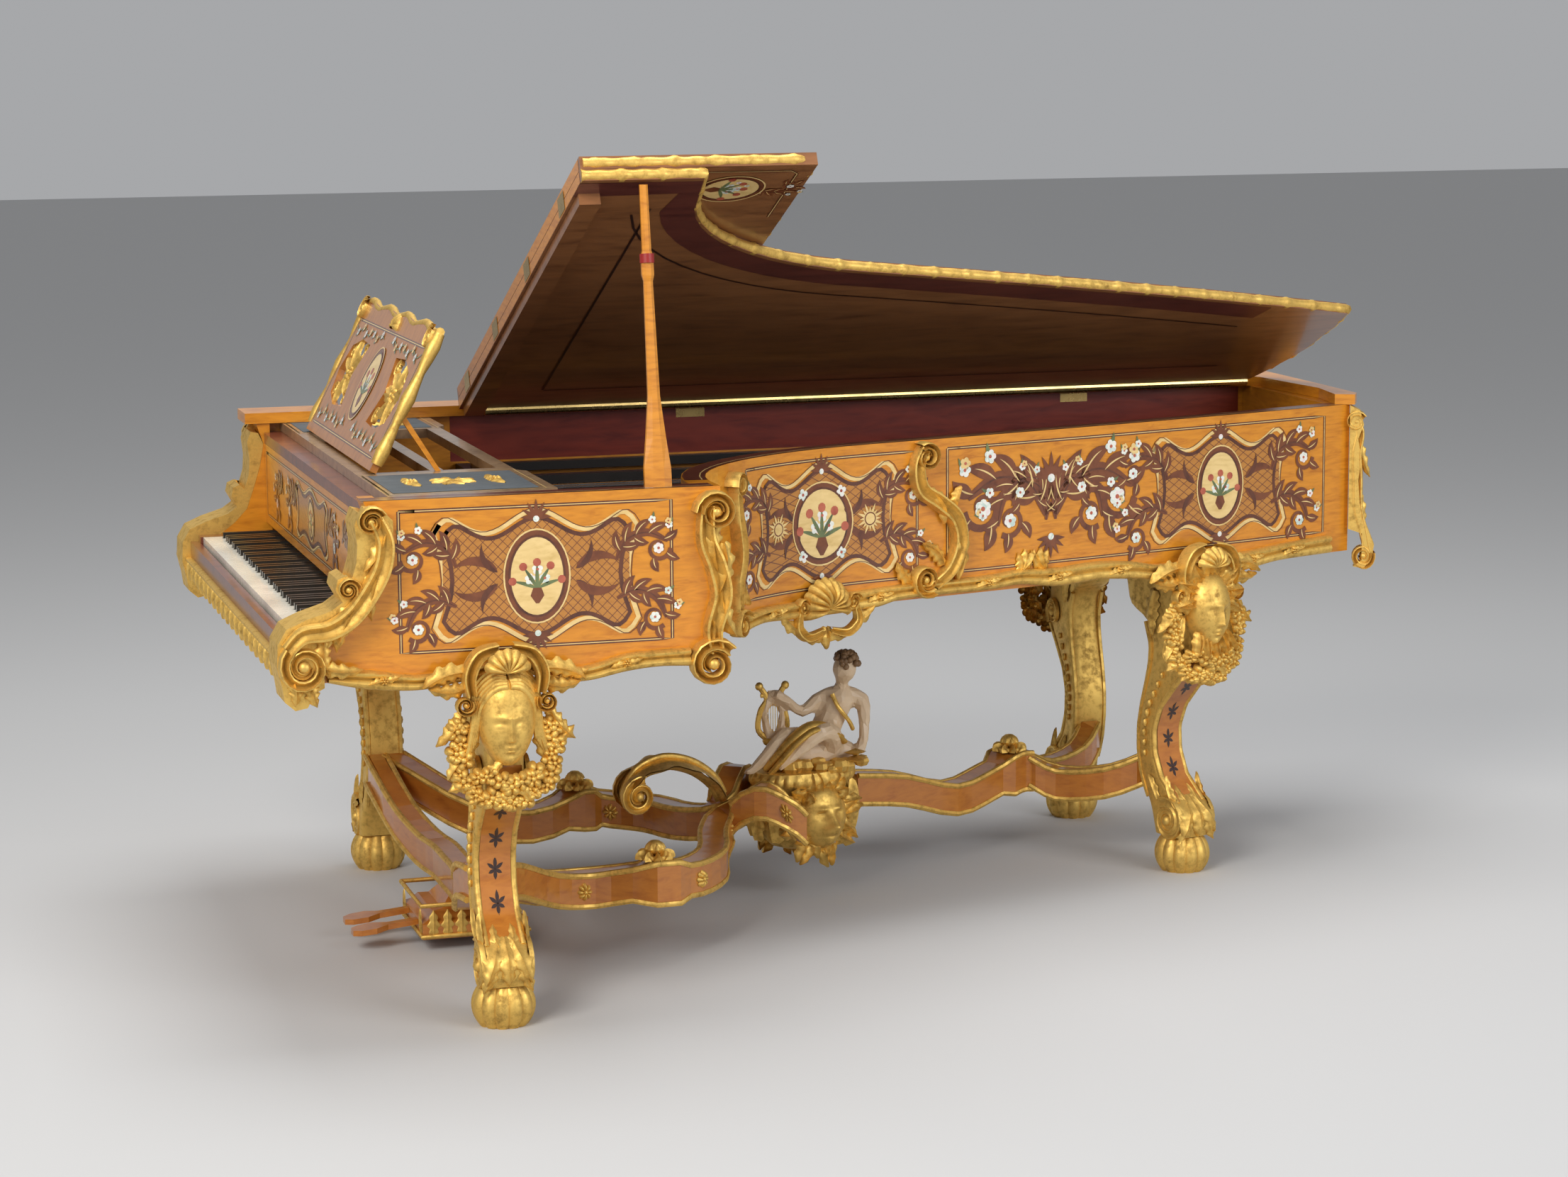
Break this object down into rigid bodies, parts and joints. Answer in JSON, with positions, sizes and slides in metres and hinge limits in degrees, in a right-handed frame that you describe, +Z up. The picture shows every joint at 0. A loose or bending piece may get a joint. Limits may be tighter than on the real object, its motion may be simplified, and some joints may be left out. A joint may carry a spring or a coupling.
{
  "type": "grand piano",
  "caption": "Ornate grand piano: propped folding lid, marquetry case, carved gilt scrolls and masks, curved stretcher with a statue, tilting music desk, moving keys and pedals.",
  "frame": {"origin": "on the floor, under the middle of the whole piano", "axes": "+Z up, +Y from the keyboard towards the tail, +X towards the treble side"},
  "size_m": [1.522, 2.5114, 1.5608],
  "materials": {
    "satinwood": "polished satinwood veneer with marquetry",
    "gilt": "antique water-gilt carving",
    "mahogany": "polished mahogany",
    "ebonised": "ebonised, satin",
    "ivory": "ivory-white key covers",
    "ebony": "polished ebony",
    "iron": "dark bronzed casting",
    "steel": "drawn steel",
    "spruce": "planed spruce",
    "brass": "polished brass",
    "panel": "reddish veneer panels with gilt edges",
    "painted": "carved wood painted in pale flesh and gilt"
  },
  "bodies": {
    "root": {"case_rim": "satinwood", "frame_beams": "spruce", "keybed": "mahogany", "key_slip": "mahogany", "front_apron": "gilt", "front_ledge": "mahogany", "wrest_plank": "mahogany", "tuning_pins": "steel", "soundboard": "spruce", "bridge": "mahogany", "iron_frame": "iron", "strings": "steel", "moulding_treble": "gilt", "moulding_bentside": "gilt", "moulding_spine": "gilt", "treble_arm": "gilt", "bass_arm": "gilt", "corner_scroll": "gilt", "bentside_scroll": "gilt", "mid_scroll": "gilt", "tail_scroll": "gilt", "tail_scroll_left": "gilt", "shell_boss": "gilt", "leg_front_right": "gilt", "leg_front_left": "gilt", "leg_rear_right": "gilt", "leg_rear_left": "gilt", "mask_front_right": "gilt", "mask_front_left": "gilt", "mask_rear_right": "gilt", "mask_rear_left": "gilt", "stretcher_right": "panel", "stretcher_left": "panel", "stretcher_front": "panel", "stretcher_centre": "panel", "stretcher_rear_right": "panel", "stretcher_rear_left": "panel", "acanthus_scroll": "gilt", "plinth": "gilt", "statue": "painted", "lid_hinge": "brass", "fixed_lid_strip": "satinwood", "pedal_box": "panel"},
    "lid": {"lid": "satinwood", "lid_batten": "satinwood"},
    "lid_flap": {"lid_flap": "satinwood"},
    "prop_stick": {"prop_stick": "satinwood"},
    "desk_frame": {"desk_frame": "mahogany"},
    "desk_panel": {"desk_panel": "satinwood"},
    "desk_strut": {"desk_strut": "mahogany"},
    "fallboard": {"fallboard": "satinwood"},
    "action": {"action_rail": "mahogany"},
    "keys": {"naturals": "ivory", "sharps": "ebony"},
    "top_c_key": {"top_c_key": "ivory"},
    "damper_rail": {"damper_rail": "ebonised"},
    "pedal_left": {"pedal_left": "mahogany"},
    "pedal_right": {"pedal_right": "mahogany"}
  },
  "joints": [
    {"name": "lid_hinge_turn", "type": "hinge", "parent": "root", "child": "lid", "pos_m": [-0.582, -1.09773, 0.985], "axis": [0, 1, 0], "range_deg": [-40, 0]},
    {"name": "flap_fold", "type": "hinge", "parent": "lid", "child": "lid_flap", "pos_m": [-0.59135, -0.66873, 1.00524], "axis": [0.9078, 0, 0.4195], "range_deg": [0, 125]},
    {"name": "prop_fold", "type": "hinge", "parent": "root", "child": "prop_stick", "pos_m": [0.65, -0.58173, 0.9733], "axis": [1, 0, 0], "range_deg": [0, 85]},
    {"name": "desk_slide", "type": "slide", "parent": "root", "child": "desk_frame", "axis": [0, 1, 0], "range_m": [-0.025, 0.015]},
    {"name": "desk_tilt", "type": "hinge", "parent": "desk_frame", "child": "desk_panel", "pos_m": [0, -1.0033, 0.9723], "axis": [-1, 0, 0], "range_deg": [0, 25]},
    {"name": "strut_swing", "type": "hinge", "parent": "desk_panel", "child": "desk_strut", "pos_m": [0, -0.94689, 1.08048], "axis": [1, 0, 0], "range_deg": [0, 50]},
    {"name": "fallboard_turn", "type": "hinge", "parent": "root", "child": "fallboard", "pos_m": [0, -1.07773, 0.765], "axis": [1, 0, 0], "range_deg": [0, 90]},
    {"name": "action_shift", "type": "slide", "parent": "root", "child": "action", "axis": [1, 0, 0], "range_m": [0, 0.0024]},
    {"name": "keys_dip", "type": "hinge", "parent": "action", "child": "keys", "pos_m": [0, -0.97773, 0.722], "axis": [1, 0, 0], "range_deg": [0, 2.4], "stiffness_Nm_per_rad": 60, "springref_deg": -8.59},
    {"name": "top_c_dip", "type": "hinge", "parent": "action", "child": "top_c_key", "pos_m": [0, -0.97773, 0.722], "axis": [1, 0, 0], "range_deg": [0, 2.4], "stiffness_Nm_per_rad": 2, "springref_deg": -5.73},
    {"name": "damper_lift", "type": "slide", "parent": "root", "child": "damper_rail", "axis": [0, 0, 1], "range_m": [0, 0.0061]},
    {"name": "pedal_left_dip", "type": "hinge", "parent": "root", "child": "pedal_left", "pos_m": [-0.047, -0.89803, 0.045], "axis": [1, 0, 0], "range_deg": [0, 6], "stiffness_Nm_per_rad": 2, "springref_deg": -5.73},
    {"name": "pedal_right_dip", "type": "hinge", "parent": "root", "child": "pedal_right", "pos_m": [0.047, -0.89803, 0.045], "axis": [1, 0, 0], "range_deg": [0, 6], "stiffness_Nm_per_rad": 60, "springref_deg": -5.73}
  ],
  "couplings": [
    {"joint": "prop_fold", "follows": "lid_hinge_turn", "ratio": -2.125},
    {"joint": "strut_swing", "follows": "desk_tilt", "ratio": 2},
    {"joint": "pedal_left_dip", "follows": "action_shift", "rad_per_m": 42},
    {"joint": "damper_lift", "follows": "pedal_right_dip", "m_per_rad": 0.0573}
  ]
}
